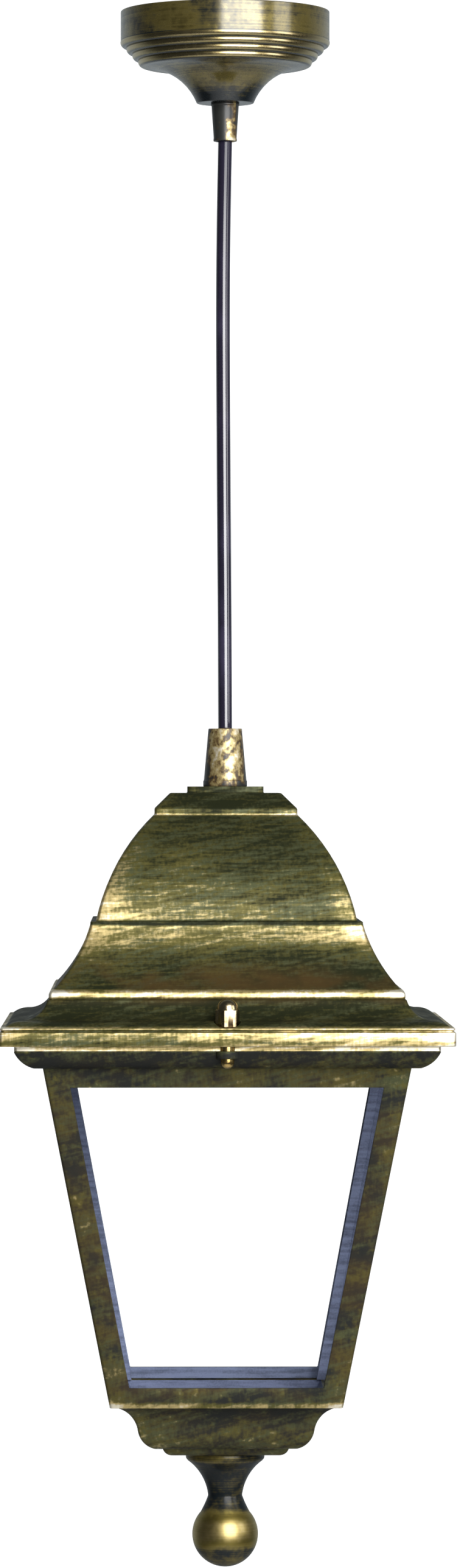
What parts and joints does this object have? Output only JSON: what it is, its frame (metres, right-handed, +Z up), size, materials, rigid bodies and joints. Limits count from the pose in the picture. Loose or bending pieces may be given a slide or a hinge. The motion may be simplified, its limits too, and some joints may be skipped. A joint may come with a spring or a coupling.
{
  "type": "outdoor hanging lamp",
  "caption": "Four-sided pendant lantern with a domed square roof, tapered clear-paned body and ball finial, hung by a cord from a round ceiling cup.",
  "frame": {"origin": "centre of the ceiling cup's rim, on the plane of the ceiling", "axes": "+Z up towards the ceiling, -Y the front with an acorn nut on the eave, +X to the right"},
  "size_m": [0.165, 0.165, 0.5804],
  "materials": {
    "antique_plastic": "black moulded plastic, dry-brushed in antique gold",
    "bronze_metal": "dark bronze-gold lacquer, half gloss",
    "gold_plastic": "mottled gold over black",
    "black_flex": "glossy black sheath",
    "zinc_steel": "zinc plated",
    "brass": "polished",
    "clear_glass": "clear",
    "white_plastic": "plain",
    "white_ceramic": "glazed",
    "black_bakelite": "half gloss",
    "brown_lead": "plain",
    "blue_lead": "plain"
  },
  "bodies": {
    "canopy": {"canopy_cup": "bronze_metal", "ceiling_strap": "zinc_steel", "strap_nuts": "zinc_steel", "upper_nipple": "zinc_steel", "upper_cord_grip": "gold_plastic", "upper_grip_screw": "zinc_steel", "upper_cord_end": "black_flex", "upper_live_lead": "brown_lead", "upper_neutral_lead": "blue_lead", "terminal_block": "white_plastic", "terminal_clamps": "brass", "terminal_screws": "zinc_steel", "terminal_fixing_screw": "zinc_steel"},
    "cord": {"cord": "black_flex"},
    "lantern": {"lower_cord_grip": "gold_plastic", "lower_grip_screw": "zinc_steel", "lower_cord_end": "black_flex", "lower_live_lead": "brown_lead", "lower_neutral_lead": "blue_lead", "lower_nipple": "zinc_steel", "roof_washer": "zinc_steel", "roof_nut": "zinc_steel", "holder_cap": "black_bakelite", "holder_skirt": "black_bakelite", "holder_insert": "white_ceramic", "holder_thread_sleeve": "brass", "holder_centre_contact": "brass", "holder_terminal_screws": "brass", "roof": "antique_plastic", "acorn_nuts": "brass", "roof_studs": "brass", "lantern_body": "antique_plastic", "front_pane": "clear_glass", "right_pane": "clear_glass", "back_pane": "clear_glass", "left_pane": "clear_glass", "finial": "bronze_metal", "finial_screw": "zinc_steel", "finial_washer": "zinc_steel"}
  },
  "joints": [
    {"name": "cord_swing", "type": "hinge", "parent": "canopy", "child": "cord", "pos_m": [0, 0, -0.0484], "axis": [0, 1, 0], "range_deg": [-30, 30]},
    {"name": "lantern_rock", "type": "hinge", "parent": "cord", "child": "lantern", "pos_m": [0, 0, -0.2676], "axis": [1, 0, 0], "range_deg": [-30, 30]}
  ]
}
